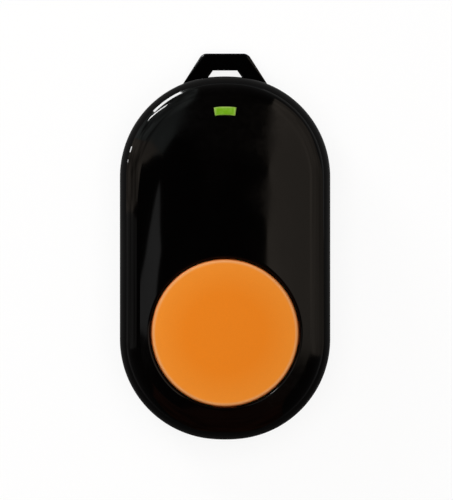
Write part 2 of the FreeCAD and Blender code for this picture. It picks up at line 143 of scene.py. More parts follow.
def nearestSpoke(place):
    return min(spokes, key=lambda spoke: (spoke[0] - place).xy.length)


def insetRing(inset, height):
    return [point - normal * inset + up * height for point, normal in spokes]


def boreRing(radius, height):
    return [buttonCentre + direction * radius + up * height for direction in boreDirections]


def circleRing(centre, radius, height, count):
    turns = [2 * math.pi * index / count for index in range(count)]
    return [centre + Vector((math.cos(t) * radius, math.sin(t) * radius, height)) for t in turns]


def quarterRound(radius, steps):
    # How far each point of a rounded edge lies from the side, and how far from the face.
    turns = [math.pi / 2 * part for part in evenParts(steps)]
    return [(radius * (1 - math.sin(turn)), radius * (1 - math.cos(turn))) for turn in turns]


def turnedRings(centre, profile, count):
    # The rings of a turned form, from radius and height pairs.
    return [circleRing(centre, radius, height, count) for radius, height in profile]


# Modelling by hand: a ring is added, then pulled out ring by ring in edit mode
finish = {"weldDistance": 0.002, "smoothAngle": 30.0, "faceWeight": 100}


def clearSelection():
    if bpy.context.mode != "OBJECT":
        bpy.ops.object.mode_set(mode="OBJECT")
    bpy.ops.object.select_all(action="DESELECT")


def makeActive(piece):
    clearSelection()
    piece.select_set(True)
    bpy.context.view_layer.objects.active = piece


def openMesh(piece):
    makeActive(piece)
    bpy.ops.object.mode_set(mode="EDIT")


def nameNew(name):
    piece = bpy.context.object
    piece.name = name
    piece.data.name = name
    bpy.ops.object.mode_set(mode="EDIT")
    return piece


def placeRing(piece, points):
    editMesh = bmesh.from_edit_mesh(piece.data)
    editMesh.verts.ensure_lookup_table()
    for vertex, point in zip(editMesh.verts[-len(points):], points):
        vertex.co = point * mm
    bmesh.update_edit_mesh(piece.data, loop_triangles=False)


def selectParts(piece, mode, choose):
    # Selects what choose picks from the open mesh.
    bpy.ops.mesh.select_mode(type=mode)
    bpy.ops.mesh.select_all(action="DESELECT")
    editMesh = bmesh.from_edit_mesh(piece.data)
    editMesh.verts.ensure_lookup_table()
    for part in choose(editMesh):
        part.select_set(True)
    editMesh.select_flush_mode()
    bmesh.update_edit_mesh(piece.data, loop_triangles=False)


def selectEdges(piece, test):
    # Selects the edges whose two ends, in millimetres, pass the test.
    def choose(mesh):
        return [e for e in mesh.edges if test(*(vertex.co / mm for vertex in e.verts))]

    selectParts(piece, "EDGE", choose)


def roundEdges(width, segments):
    bpy.ops.mesh.bevel(offset=width * mm, segments=segments, profile=0.5)


def pullRings(name, rings, closed=False):
    # Starts with the first ring and pulls each further one out of the one before it. Where the
    # section is closed, the last ring is joined to the first, and elsewhere both get a face.
    count = len(rings[0])
    clearSelection()
    bpy.ops.mesh.primitive_circle_add(vertices=count, radius=mm, fill_type="NOTHING")
    piece = nameNew(name)
    placeRing(piece, rings[0])
    for ring in rings[1:]:
        bpy.ops.mesh.extrude_edges_move()
        placeRing(piece, ring)
    if closed:
        selectParts(piece, "VERT", lambda mesh: mesh.verts[:count] + mesh.verts[-count:])
        bpy.ops.mesh.bridge_edge_loops()
        return piece
    for span in (slice(0, count), slice(-count, None)):
        selectParts(piece, "VERT", lambda mesh: mesh.verts[span])
        bpy.ops.mesh.edge_face_add()
    return piece


def weld():
    # Joins the corners that meet, and turns all faces outward.
    bpy.ops.mesh.select_all(action="SELECT")
    bpy.ops.mesh.remove_doubles(threshold=finish["weldDistance"] * mm)
    bpy.ops.mesh.normals_make_consistent(inside=False)


def finishMesh(piece):
    openMesh(piece)
    weld()
    makeActive(piece)
    bpy.ops.object.shade_smooth_by_angle(angle=math.radians(finish["smoothAngle"]))
    weighted = piece.modifiers.new("weighted", "WEIGHTED_NORMAL")
    weighted.keep_sharp = True
    weighted.weight = finish["faceWeight"]
    bpy.ops.object.modifier_apply(modifier=weighted.name)
    return piece


def carve(piece, tool, operation):
    # One boolean with a tool that is used up.
    makeActive(piece)
    modifier = piece.modifiers.new("carve", "BOOLEAN")
    modifier.operation = operation
    modifier.solver = "EXACT"
    modifier.object = tool
    bpy.ops.object.modifier_apply(modifier=modifier.name)
    bpy.data.objects.remove(tool)


def turnedTool(name, centres, profile, count=40):
    # The same turned form at each place, as one mesh.
    parts = []
    for centre in centres:
        part = pullRings(name, turnedRings(centre, profile, count))
        weld()
        parts.append(part)
    makeActive(parts[0])
    for part in parts[1:]:
        part.select_set(True)
        bpy.ops.object.join()
    return parts[0]


def block(name, low, high):
    # A block between two opposite corners, left open in edit mode.
    clearSelection()
    bpy.ops.mesh.primitive_cube_add(size=mm)
    piece = nameNew(name)
    bpy.ops.transform.resize(value=high - low)
    bpy.ops.transform.translate(value=(low + high) / 2 * mm)
    return piece


screws = {"across": (11.0, -11.0), "along": (24.5, -24.5)}
screwSpots = [Vector((x, y, 0)) for x in screws["across"] for y in screws["along"]]
boreRadius = 13.5

frontHousing = {
    "edgeRound": 4.0,
    "wall": 1.6,
    "lipRound": 0.45,
    "collarWall": 0.8,
    "collarDrop": 0.5,
    "rebateDepth": 0.8,
    "rebateHeight": 1.6,
    "partingChamfer": 0.08,
    "bossRadius": 1.9,
    "bossLow": 8.4,
    "bossHigh": 12.2,
    "bossHole": 1.02,
    "bossHoleTop": 11.22,
    "roundRings": 16,
    "faceRings": 56,
    "lipRings": 7,
    "ceilingRings": 16,
}

indicator = {
    "inner": 11.12,
    "outer": 12.62,
    "halfAngle": 9.35,
    "gap": 0.07,
    "topRound": 0.12,
    "roundSegments": 4,
    "flangeReach": 0.7,
    "flangeHeight": 0.6,
    "flangeGap": 0.12,
    "steps": 24,
}


def windowBar(name, reach, low, high):
    # A short bar that follows the end of the fob and goes past the window by reach all round:
    # its section, spun about the shoulder centre. It is left open in edit mode.
    w = indicator
    clearSelection()
    bpy.ops.mesh.primitive_plane_add(size=mm)
    bar = nameNew(name)
    halfTurn = math.radians(w["halfAngle"]) + reach / w["outer"]
    inner, outer = w["inner"] - reach, w["outer"] + reach
    corners = []
    for radius, height in ((inner, low), (outer, low), (inner, high), (outer, high)):
        side = -math.sin(halfTurn) * radius
        corners.append(Vector((side, shoulderCentre + math.cos(halfTurn) * radius, height)))
    placeRing(bar, corners)
    centre = (0, shoulderCentre * mm, 0)
    bpy.ops.mesh.spin(steps=w["steps"], angle=2 * halfTurn, center=centre, axis=(0, 0, 1))
    weld()
    return bar


def edgeRoundRing(radius, part):
    # Part 0 is the foot of the rounded edge on the wall, part 1 its end on the front face.
    inset = frontHousing["edgeRound"]
    ring = []
    for point, normal in spokes:
        centre = point - normal * inset
        centre.z = crownHeight(centre.x, centre.y, inset)
        direction = normal.slerp(crownNormal(centre.x, centre.y), part)
        ring.append(centre + direction * radius)
    return ring


def faceRing(outerRing, innerRing, part, inset):
    ring = []
    for outer, inner in zip(outerRing, innerRing):
        point = outer.lerp(inner, part)
        point.z = crownHeight(point.x, point.y, inset)
        ring.append(point)
    return ring


def lipRing(part):
    round = frontHousing["lipRound"]
    ring = []
    for direction in boreDirections:
        centre = buttonCentre + direction * (boreRadius + round)
        centre.z = crownHeight(centre.x, centre.y, round)
        facing = crownNormal(centre.x, centre.y).slerp(-direction, part)
        ring.append(centre + facing * round)
    return ring


def makeFrontHousing():
    f = frontHousing
    parting = shellLow.z
    chamfer = f["partingChamfer"]
    edge = f["edgeRound"]
    rings = [insetRing(chamfer, parting), insetRing(0, parting + chamfer)]
    rings += [edgeRoundRing(edge, part) for part in evenParts(f["roundRings"])]
    outer = edgeRoundRing(edge, 1)
    inner = lipRing(0)
    rings += [faceRing(outer, inner, part, 0) for part in evenParts(f["faceRings"])[1:-1]]
    rings += [lipRing(part) for part in evenParts(f["lipRings"])]
    # The collar that hangs round the bore, then the inside of the wall
    collarLow = crownHeight(boreRadius, buttonCentre.y, f["wall"]) - f["collarDrop"]
    collarRadius = boreRadius + f["collarWall"]
    rings += [boreRing(boreRadius, collarLow), boreRing(collarRadius, collarLow)]
    under = edge - f["wall"]
    outer = edgeRoundRing(under, 1)
    inner = boreRing(collarRadius, 0)
    parts = evenParts(f["ceilingRings"])[:-1]
    rings += [faceRing(outer, inner, 1 - part, f["wall"]) for part in parts]
    rings += [edgeRoundRing(under, 1 - part) for part in evenParts(f["lipRings"])]
    rebateTop = parting + f["rebateHeight"]
    rings.append(insetRing(f["wall"], rebateTop))
    rings.append(insetRing(f["rebateDepth"], rebateTop))
    rings.append(insetRing(f["rebateDepth"], parting))
    shell = finishMesh(pullRings("frontHousing", rings, closed=True))

    boss = [(f["bossRadius"], f["bossLow"]), (f["bossRadius"], f["bossHigh"])]
    carve(shell, turnedTool("bosses", screwSpots, boss), "UNION")
    hole = [(f["bossHole"], f["bossLow"] - past), (f["bossHole"], f["bossHoleTop"])]
    carve(shell, turnedTool("holes", screwSpots, hole), "DIFFERENCE")
    slot = windowBar("slot", indicator["gap"], parting, topHeight + past)
    carve(shell, slot, "DIFFERENCE")
    return finishMesh(shell)


thumbButton = {
    "play": 0.2,
    "proud": 0.2,
    "thickness": 1.4,
    "edgeRound": 0.5,
    "edgeRings": 8,
    "skirtWall": 1.2,
    "skirtHeight": 1.5,
    "skirtChamfer": 0.1,
    "hubRadius": 4.4,
    "hubHeight": 0.6,
    "postRadius": 1.3,
    "ribs": 8,
    "ribWidth": 0.9,
    "ribRoot": 0.3,  # how far the ribs go into the cap
    "tabs": 4,
    "tabReach": 0.8,
    "tabWidth": 4.3,
    "tabHeight": 0.7,
    "tabPlay": 0.05,
    "corners": 160,
    "topRings": 26,
}


def buttonTopRing(radius, drop):
    ring = circleRing(buttonCentre, radius, 0, thumbButton["corners"])
    for point in ring:
        point.z = crownHeight(point.x, point.y, -thumbButton["proud"]) - drop
    return ring


def addSideBlocks(button, count, start, reach, width, low, high):
    # Adds blocks that stand out from the button's axis, evenly round it.
    for index in range(count):
        side = block("side", Vector((start, -width / 2, low)), Vector((reach, width / 2, high)))
        angle = -2 * math.pi * index / count
        bpy.ops.transform.rotate(value=angle, orient_axis="Z", center_override=(0, 0, 0))
        bpy.ops.transform.translate(value=buttonCentre * mm)
        carve(button, side, "UNION")


def makeButton():
    b = thumbButton
    radius = boreRadius - b["play"]
    underside = crownHeight(0, buttonCentre.y, -b["proud"]) - b["thickness"]
    skirtLow = underside - b["skirtHeight"]
    hubLow = underside - b["hubHeight"]
    inner = radius - b["skirtWall"]
    middle = radius - b["skirtWall"] / 2
    profile = [
        (b["postRadius"], buttonLow.z),
        (b["postRadius"], hubLow),
        (b["hubRadius"], hubLow),
        (b["hubRadius"], underside),
        (inner, underside),
        (inner, skirtLow),
        (radius - b["skirtChamfer"], skirtLow),
        (radius, skirtLow + b["skirtChamfer"]),
    ]
    rings = turnedRings(buttonCentre, profile, b["corners"])
    edge = b["edgeRound"]
    rim = quarterRound(edge, b["edgeRings"])
    rings += [buttonTopRing(radius - inset, drop) for drop, inset in rim]
    parts = evenParts(b["topRings"])[1:-1]
    rings += [buttonTopRing((radius - edge) * (1 - part), 0) for part in parts]
    button = finishMesh(pullRings("thumbButton", rings))

    ribTop = underside + b["ribRoot"]
    addSideBlocks(button, b["ribs"], b["hubRadius"] / 2, middle, b["ribWidth"], hubLow, ribTop)
    tabTop = crownHeight(boreRadius, buttonCentre.y, frontHousing["wall"])
    tabTop -= frontHousing["collarDrop"] + b["tabPlay"]
    tabLow = tabTop - b["tabHeight"]
    tabReach = radius + b["tabReach"]
    addSideBlocks(button, b["tabs"], middle, tabReach, b["tabWidth"], tabLow, tabTop)
    return finishMesh(button)


def makeWindow():
    w = indicator
    lens = windowBar("indicatorLens", 0, windowLow.z, topHeight + past)
    selectParts(lens, "VERT", lambda mesh: [v for v in mesh.verts if v.co.z > topHeight * mm])
    editMesh = bmesh.from_edit_mesh(lens.data)
    for vertex in editMesh.verts:
        if vertex.select:
            vertex.co.z = crownHeight(vertex.co.x / mm, vertex.co.y / mm) * mm
    bmesh.update_edit_mesh(lens.data)
    bpy.ops.mesh.region_to_loop()
    roundEdges(w["topRound"], w["roundSegments"])
    finishMesh(lens)
    ceiling = crownHeight(0, (windowLow.y + windowHigh.y) / 2, frontHousing["wall"])
    low, high = ceiling - w["flangeHeight"], ceiling - w["flangeGap"]
    carve(lens, windowBar("flange", w["flangeReach"], low, high), "UNION")
    return finishMesh(lens)


rearCover = {
    "setback": 0.2,
    "backRound": 1.6,
    "wall": 1.5,
    "floor": 1.5,
    "grooveHeight": 0.3,
    "grooveDepth": 0.3,
    "tongueOuter": 0.85,
    "tongueInner": 1.55,
    "tongueHeight": 1.0,
    "columnRadius": 2.6,
    "columnHigh": 4.1,
    "slimRadius": 1.72,
    "slimHigh": 7.4,
    "headHole": 2.0,
    "headSeat": 3.2,
    "shankHole": 1.12,
    "holeCorners": 64,
    "roundRings": 10,
    "insideStart": 0.05,  # height over the flat back at which the inside starts
}

lanyardLoop = {
    "bar": 3.04,
    "halfWidth": 4.13,
    "flank": 32.5,
    "corner": 1.4,
    "cornerSegments": 10,
    "low": 0.6,
    "high": 3.4,
    "edge": 0.5,
    "edgeSegments": 5,
    "rootStart": 0.2,  # the edges nearer to the root than this stay sharp
    "slotHalfWidth": 2.2,
    "slotFlank": 35.0,
    "slotEdge": 0.3,
    "slotEdgeSegments": 4,
    "slotMargin": 0.05,
}


def flaredPlate(name, halfTop, flank, top, bottom, low, high):
    clearSelection()
    bpy.ops.mesh.primitive_plane_add(size=mm)
    plate = nameNew(name)
    halfBottom = halfTop + (top - bottom) * math.tan(math.radians(flank))
    corners = [(-halfBottom, bottom), (halfBottom, bottom), (-halfTop, top), (halfTop, top)]
    placeRing(plate, [Vector((x, y, low)) for x, y in corners])
    bpy.ops.mesh.extrude_region_move(TRANSFORM_OT_translate={"value": (0, 0, (high - low) * mm)})
    weld()
    return plate


def makeLoop():
    l = lanyardLoop
    top = coverHigh.y
    root = 2 * halfLength - top

    def inFace(first, second):
        # Both ends lie in the loop's front face, or both in its back face.
        levels = (l["low"], l["high"])
        return any(max(abs(first.z - z), abs(second.z - z)) < near for z in levels)

    def isCorner(first, second):
        return abs(first.z - second.z) > near and first.y > top - near

    def isRim(first, second):
        return inFace(first, second) and min(first.y, second.y) > root + l["rootStart"]

    loop = flaredPlate("loop", l["halfWidth"], l["flank"], top, root, l["low"], l["high"])
    selectEdges(loop, isCorner)
    halfCorner = math.radians(90 + l["flank"]) / 2
    roundEdges(l["corner"] / math.tan(halfCorner), l["cornerSegments"])
    selectEdges(loop, isRim)
    roundEdges(l["edge"], l["edgeSegments"])

    slotTop = top - l["bar"]
    slotWidth = l["slotHalfWidth"]
    slotFlank = l["slotFlank"]
    slot = flaredPlate("slot", slotWidth, slotFlank, slotTop, root - past, 0, coverHigh.z)
    carve(loop, slot, "DIFFERENCE")

    def onSlot(place):
        reach = slotWidth + (slotTop - place.y) * math.tan(math.radians(slotFlank))
        return abs(place.x) < reach + l["slotMargin"] and place.y < slotTop + l["slotMargin"]

    openMesh(loop)
    selectEdges(
        loop, lambda first, second: inFace(first, second) and onSlot(first) and onSlot(second)
    )
    roundEdges(l["slotEdge"], l["slotEdgeSegments"])
    return loop


def makeRearCover():
    r = rearCover
    parting = shellLow.z
    floor = coverLow.z
    outer = r["setback"]
    inner = outer + r["wall"]
    corner = quarterRound(r["backRound"], r["roundRings"])
    rings = [insetRing(outer + inset, floor + rise) for inset, rise in corner]
    groove = parting - r["grooveHeight"]
    tongueTop = parting + r["tongueHeight"]
    profile = [
        (outer, groove),
        (outer + r["grooveDepth"], groove),
        (outer + r["grooveDepth"], parting),
        (r["tongueOuter"], parting),
        (r["tongueOuter"], tongueTop),
        (r["tongueInner"], tongueTop),
        (r["tongueInner"], parting),
        (inner, parting),
        (inner, floor + r["floor"]),
    ]
    rings += [insetRing(inset, height) for inset, height in profile]
    cover = finishMesh(pullRings("rearCover", rings))

    loop = makeLoop()
    middle = inner - r["wall"] / 2
    rings = [insetRing(middle, floor - past), insetRing(middle, parting + past)]
    carve(loop, finishMesh(pullRings("core", rings)), "DIFFERENCE")
    carve(cover, loop, "UNION")
    column = [
        (r["columnRadius"], r["floor"] / 2),
        (r["columnRadius"], r["columnHigh"]),
        (r["slimRadius"], r["columnHigh"]),
        (r["slimRadius"], r["slimHigh"]),
    ]
    carve(cover, turnedTool("columns", screwSpots, column), "UNION")
    drill = [
        (r["headHole"], floor - past),
        (r["headHole"], r["headSeat"]),
        (r["shankHole"], r["headSeat"]),
        (r["shankHole"], r["slimHigh"] + past),
    ]
    carve(cover, turnedTool("drills", screwSpots, drill, r["holeCorners"]), "DIFFERENCE")
    finishMesh(cover)
    textureInside(cover, floor, inner)
    return cover


def textureInside(cover, floor, inner):
    # The flat back face and the inside get the second finish, which is textured.
    for face in cover.data.polygons:
        place = face.center / mm
        nearest, outward = nearestSpoke(place)
        deep = (nearest - place).dot(outward) > inner - near
        flatBack = abs(place.z - floor) < near
        if deep and (place.z > floor + rearCover["insideStart"] or flatBack):
            face.material_index = 1


coverScrew = {
    "headRadius": 1.8,
    "headRound": 0.4,
    "headRings": 6,
    "faceHeight": 1.9,
    "seat": 3.2,
    "shankRadius": 1.0,
    "length": 8.0,
    "tip": 0.5,
    "recessLength": 2.2,
    "recessWidth": 0.45,
    "recessDepth": 0.7,
    "corners": 64,
}


def makeScrews():
    s = coverScrew
    face = s["faceHeight"]
    end = s["seat"] + s["length"]
    corner = quarterRound(s["headRound"], s["headRings"])
    profile = [(s["headRadius"] - inset, face + rise) for inset, rise in corner]
    profile += [
        (s["headRadius"], s["seat"]),
        (s["shankRadius"], s["seat"]),
        (s["shankRadius"], end - s["tip"]),
        (s["shankRadius"] / 2, end),
    ]
    first = turnedTool("coverScrew1", [Vector((0, 0, 0))], profile, s["corners"])
    long, narrow = s["recessLength"], s["recessWidth"]
    for x, y in ((long, narrow), (narrow, long)):
        reach = Vector((x / 2, y / 2, s["recessDepth"]))
        blade = block("blade", up * face - reach, up * face + reach)
        carve(first, blade, "DIFFERENCE")
    made = [finishMesh(first)]
    for index in range(1, len(screwSpots)):
        makeActive(first)
        bpy.ops.object.duplicate()
        made.append(bpy.context.object)
        made[-1].name = "coverScrew" + str(index + 1)
    for screw, spot in zip(made, screwSpots):
        openMesh(screw)
        bpy.ops.mesh.select_all(action="SELECT")
        bpy.ops.transform.translate(value=spot * mm)
        clearSelection()
    return made


returnDome = {
    "baseRadius": 7.0,
    "baseHeight": 0.6,
    "baseWall": 1.5,
    "web": 0.7,
    "topRadius": 4.4,
    "topHeight": 0.6,
    "topWall": 1.3,
    "edge": 0.14,
    "edgeSegments": 3,
    "edgeAngle": 25.0,  # edges that turn by more than this are rounded
    "corners": 96,
}

snapDome = {"radius": 1.9, "thickness": 0.08, "rings": 8, "middle": 0.12, "corners": 64}


def makeReturnDome():
    d = returnDome
    low = domeLow.z
    top = domeHigh.z
    inner = d["baseRadius"] - d["baseWall"]
    profile = [
        (inner, low),
        (d["baseRadius"], low),
        (d["baseRadius"], low + d["baseHeight"]),
        (inner + d["web"], low + d["baseHeight"]),
        (d["topRadius"], top - d["topHeight"]),
        (d["topRadius"], top),
        (d["topRadius"] - d["topWall"], top),
        (d["topRadius"] - d["topWall"], top - d["topHeight"]),
        (inner, low + d["baseHeight"] / 2),
    ]
    rings = turnedRings(buttonCentre, profile, d["corners"])
    dome = pullRings("returnDome", rings, closed=True)
    weld()
    bpy.ops.mesh.select_mode(type="EDGE")
    bpy.ops.mesh.select_all(action="DESELECT")
    bpy.ops.mesh.edges_select_sharp(sharpness=math.radians(d["edgeAngle"]))
    roundEdges(d["edge"], d["edgeSegments"])
    return finishMesh(dome)


def domeArc(apex, rim):
    # Radius and height pairs of a shallow arc, from its rim to beside its middle.
    d = snapDome
    rise = apex - rim
    sphere = (d["radius"] ** 2 + rise**2) / (2 * rise)
    pairs = []
    for part in evenParts(d["rings"]):
        radius = d["radius"] + (d["middle"] - d["radius"]) * part
        pairs.append((radius, apex - sphere + math.sqrt(sphere**2 - radius**2)))
    return pairs


def makeSnapDome():
    d = snapDome
    lower = domeArc(snapHigh.z - d["thickness"], snapLow.z)
    upper = domeArc(snapHigh.z, snapLow.z + d["thickness"])
    rings = turnedRings(buttonCentre, lower[::-1] + upper, d["corners"])
    return finishMesh(pullRings("snapDome", rings))


# Materials
def setInputs(tree, node, inputs):
    # Each input is given its value, or is linked from the socket given for it.
    for label, value in inputs.items():
        socket = node.inputs[label]
        if isinstance(value, bpy.types.NodeSocket):
            tree.links.new(value, socket)
        elif socket.type == "RGBA":
            socket.default_value = (*value, 1)
        else:
            socket.default_value = value


def addNode(tree, kind, inputs=None, **settings):
    node = tree.nodes.new("ShaderNode" + kind)
    for key, value in settings.items():
        setattr(node, key, value)
    setInputs(tree, node, inputs or {})
    return node


def maths(tree, operation, *values, clamp=False):
    inputs = dict(enumerate(values))
    return addNode(tree, "Math", inputs, operation=operation, use_clamp=clamp).outputs["Value"]


def vectorMaths(tree, operation, *values):
    node = addNode(tree, "VectorMath", dict(enumerate(values)), operation=operation)
    return node.outputs["Value" if operation == "LENGTH" else "Vector"]


def ownPlace(tree):
    return addNode(tree, "TexCoord").outputs["Object"]


def splitUp(tree, vector):
    return addNode(tree, "SeparateXYZ", {"Vector": vector}).outputs


def ramp(tree, source, low, high, blend="MIX"):
    # Goes from the low colour to the high one as the source goes from 0 to 1.
    node = addNode(tree, "Mix", data_type="RGBA", blend_type=blend)
    setInputs(tree, node, {"Factor": source, "A": low, "B": high})
    return node.outputs["Result"]


def spread(tree, source, fromMin, fromMax, toMin=0.0, toMax=1.0, kind="LINEAR"):
    limits = {"From Min": fromMin, "From Max": fromMax, "To Min": toMin, "To Max": toMax}
    node = addNode(tree, "MapRange", {"Value": source, **limits}, interpolation_type=kind)
    return node.outputs["Result"]


def bump(tree, source, strength, depth):
    inputs = {"Height": source, "Strength": strength, "Distance": depth * mm}
    return addNode(tree, "Bump", inputs).outputs["Normal"]


def colourStops(tree, source, stops):
    # A colour ramp with these stops, in the place of its own two.
    node = addNode(tree, "ValToRGB", {"Fac": source})
    elements = node.color_ramp.elements
    for index, (position, colour) in enumerate(stops):
        stop = elements[index] if index < 2 else elements.new(position)
        stop.position = position
        stop.color = (*colour, 1)
    return node.outputs["Color"]


def nodeGroup(name, inputs, outputs):
    # The inputs are given with their first values, and the outputs by name.
    group = bpy.data.node_groups.new(name, "ShaderNodeTree")
    for label, value in inputs.items():
        kind = "NodeSocketVector" if isinstance(value, tuple) else "NodeSocketFloat"
        socket = group.interface.new_socket(label, in_out="INPUT", socket_type=kind)
        socket.default_value = value
    for label in outputs:
        group.interface.new_socket(label, in_out="OUTPUT", socket_type="NodeSocketFloat")
    return group, group.nodes.new("NodeGroupInput").outputs, group.nodes.new("NodeGroupOutput")


def makeGrain():
    # Fine moulded or brushed grain: a value round 0.5, from noise on the piece's own coordinates.
    firstValues = {"Scale": 1.0, "Detail": 3.0, "Stretch": (1.0, 1.0, 1.0)}
    group, given, result = nodeGroup("surfaceGrain", firstValues, ["Grain"])
    place = vectorMaths(group, "MULTIPLY", ownPlace(group), given["Stretch"])
    inputs = {"Vector": place, "Scale": given["Scale"], "Detail": given["Detail"]}
    setInputs(group, result, {"Grain": addNode(group, "TexNoise", inputs).outputs["Fac"]})
    return group


smudges = {"broadDetail": 2.0, "fineScale": 900.0, "fineDetail": 4.0, "limits": (0.48, 0.72)}


def makeHandling():
    # Where fingers have been: broad soft smudges, broken up by finer noise.
    s = smudges
    group, given, result = nodeGroup("handlingMarks", {"Scale": 60.0}, ["Smudge"])
    place = ownPlace(group)
    inputs = {"Vector": place, "Scale": given["Scale"], "Detail": s["broadDetail"]}
    broad = addNode(group, "TexNoise", inputs).outputs["Fac"]
    inputs = {"Vector": place, "Scale": s["fineScale"], "Detail": s["fineDetail"]}
    fine = addNode(group, "TexNoise", inputs).outputs["Fac"]
    soft = spread(group, broad, *s["limits"], kind="SMOOTHSTEP")
    setInputs(group, result, {"Smudge": maths(group, "MULTIPLY", soft, fine)})
    return group


boardGreen = {
    "deep": (0.004, 0.07, 0.018),
    "lifted": (0.012, 0.13, 0.035),
    "track": (0.022, 0.21, 0.06),
    "pad": (0.62, 0.60, 0.55),
    "cells": 700.0,  # a metre
    "trackEdge": (0.12, 0.09),
    "padEdge": (0.26, 0.22),
    "acrossFrom": 0.4,  # the share of the cells without a track across
    "alongUpTo": 0.5,  # the share with a track along
    "padChance": (0.45, 0.03),
    "grainScale": 700.0,
    "roughness": (0.25, 0.4),
    "bump": (0.3, 0.035),
}


def makeTracks():
    # Copper under the board's lacquer: each cell has a straight track across, along or both
    # ways, and some of those that have both have a pad.
    b = boardGreen
    group, given, result = nodeGroup("boardTracks", {"Cells": b["cells"]}, ["Track", "Pad"])
    cells = vectorMaths(group, "MULTIPLY", ownPlace(group), given["Cells"])
    corner = vectorMaths(group, "FLOOR", cells)
    chance = addNode(group, "TexWhiteNoise", {"Vector": corner}).outputs["Value"]
    inside = vectorMaths(group, "FRACTION", cells)
    reach = vectorMaths(group, "ABSOLUTE", vectorMaths(group, "SUBTRACT", inside, (0.5, 0.5, 0.5)))
    parts = splitUp(group, reach)
    across = spread(group, parts["X"], *b["trackEdge"])
    along = spread(group, parts["Y"], *b["trackEdge"])
    hasAcross = maths(group, "GREATER_THAN", chance, b["acrossFrom"])
    hasAlong = maths(group, "LESS_THAN", chance, b["alongUpTo"])
    across = maths(group, "MULTIPLY", across, hasAcross)
    along = maths(group, "MULTIPLY", along, hasAlong)
    distance = vectorMaths(group, "LENGTH", vectorMaths(group, "MULTIPLY", reach, (1, 1, 0)))
    hasPad = maths(group, "COMPARE", chance, *b["padChance"])
    pad = maths(group, "MULTIPLY", spread(group, distance, *b["padEdge"]), hasPad)
    setInputs(group, result, {"Track": maths(group, "MAXIMUM", across, along), "Pad": pad})
    return group


surfaceGrain = makeGrain()
handlingMarks = makeHandling()
boardTracks = makeTracks()


def useGroup(tree, group, **inputs):
    return addNode(tree, "Group", inputs, node_tree=group).outputs


def grainOf(tree, **inputs):
    return useGroup(tree, surfaceGrain, **inputs)["Grain"]


def newMaterial(name, settings=None):
    material = bpy.data.materials.new(name)
    material.use_nodes = True
    tree = material.node_tree
    shader = tree.nodes["Principled BSDF"]
    setInputs(tree, shader, settings or {})
    return material, tree, shader


grainRange = (0.3, 0.7)  # where most of the grain's values lie


def setFinish(tree, shader, colour, source, roughness, relief, bumps, limits=grainRange):
    # The roughness follows one source, and the bumps another.
    rough = spread(tree, source, *limits, *roughness)
    normal = bump(tree, relief, *bumps)
    setInputs(tree, shader, {"Base Color": colour, "Roughness": rough, "Normal": normal})


def grainyMaterial(name, low, high, scale, roughness, bumps, settings=None, stretch=(1, 1, 1)):
    # A finish whose colour and roughness vary with its grain.
    material, tree, shader = newMaterial(name, settings)
    grain = grainOf(tree, Scale=scale, Stretch=stretch)
    setFinish(tree, shader, ramp(tree, grain, low, high), grain, roughness, grain, bumps)
    return material


glossBlack = {
    "deep": (0.0006, 0.0005, 0.0005),
    "lifted": (0.0018, 0.0015, 0.0014),
    "smudgeScale": 55.0,
    "smudgeRange": (0, 0.6),
    "roughness": (0.035, 0.12),  # clean and smudged
    "wave": {"Scale": 70.0, "Detail": 1.0},
    "bump": (0.05, 0.4),
    "shader": {"IOR": 1.5, "Specular IOR Level": 0.35},
}


def makeGlossBlack():
    g = glossBlack
    material, tree, shader = newMaterial("glossBlackHousing", g["shader"])
    smudge = useGroup(tree, handlingMarks, Scale=g["smudgeScale"])["Smudge"]
    wave = grainOf(tree, **g["wave"])
    colour = ramp(tree, smudge, g["deep"], g["lifted"])
    setFinish(tree, shader, colour, smudge, g["roughness"], wave, g["bump"], g["smudgeRange"])
    return material


satinOrange = {
    "reach": 14.0,
    # distance from the middle and colour there: even, then paler as a painted sheen, a pale
    # painted highlight at the rim and deep painted shade on the wall
    "rings": [
        (7.0, (0.79, 0.207, 0.0012)),
        (12.5, (0.80, 0.245, 0.014)),
        (12.85, (0.74, 0.32, 0.105)),
        (13.02, (0.62, 0.26, 0.085)),
        (13.2, (0.36, 0.08, 0.010)),
    ],
    "grain": {"Scale": 5000.0, "Detail": 2.0},
    "speckShare": 0.12,
    "speck": ((0.6, 0.6, 0.6), (1.4, 1.4, 1.4)),
    "roughness": (0.4, 0.52),
    "bump": (0.25, 0.02),
    "shader": {"Specular IOR Level": 0.1},
}


def makeSatinOrange():
    s = satinOrange
    material, tree, shader = newMaterial("satinOrangeButton", s["shader"])
    place = vectorMaths(tree, "SUBTRACT", ownPlace(tree), buttonCentre * mm)
    distance = vectorMaths(tree, "LENGTH", vectorMaths(tree, "MULTIPLY", place, (1, 1, 0)))
    outward = spread(tree, distance, 0, s["reach"] * mm)
    # The rings paint a sheen towards the rim, a highlight on the rim and shade on the wall into
    # the colour
    stops = [(radius / s["reach"], colour) for radius, colour in s["rings"]]
    ringColoursWithPaintedLight = colourStops(tree, outward, stops)
    grain = grainOf(tree, **s["grain"])
    colour = ramp(tree, s["speckShare"], ringColoursWithPaintedLight, ramp(tree, grain, *s["speck"]), "MULTIPLY")
    setFinish(tree, shader, colour, grain, s["roughness"], grain, s["bump"])
    return material


limeWindow = {
    "core": (0.145, 0.36, 0.001),
    "paintedEdgeHighlight": (0.34, 0.50, 0.11),
    "ends": (1.45, 2.0),  # distances across at which the painted edge highlight starts and is full
    "sides": (0.45, 0.75),  # the same along
    "sideShare": 0.7,
    "grain": {"Scale": 1400.0, "Detail": 2.0},
    "mottle": (0.45, 0.8, 0.0, 0.3),
    "bump": (0.1, 0.02),
    "shader": {
        "Roughness": 0.3,
        "Specular IOR Level": 0.08,
        "Subsurface Weight": 0.3,
        "Subsurface Scale": 0.0004,
        "Subsurface Radius": (0.5, 1.0, 0.2),
    },
}


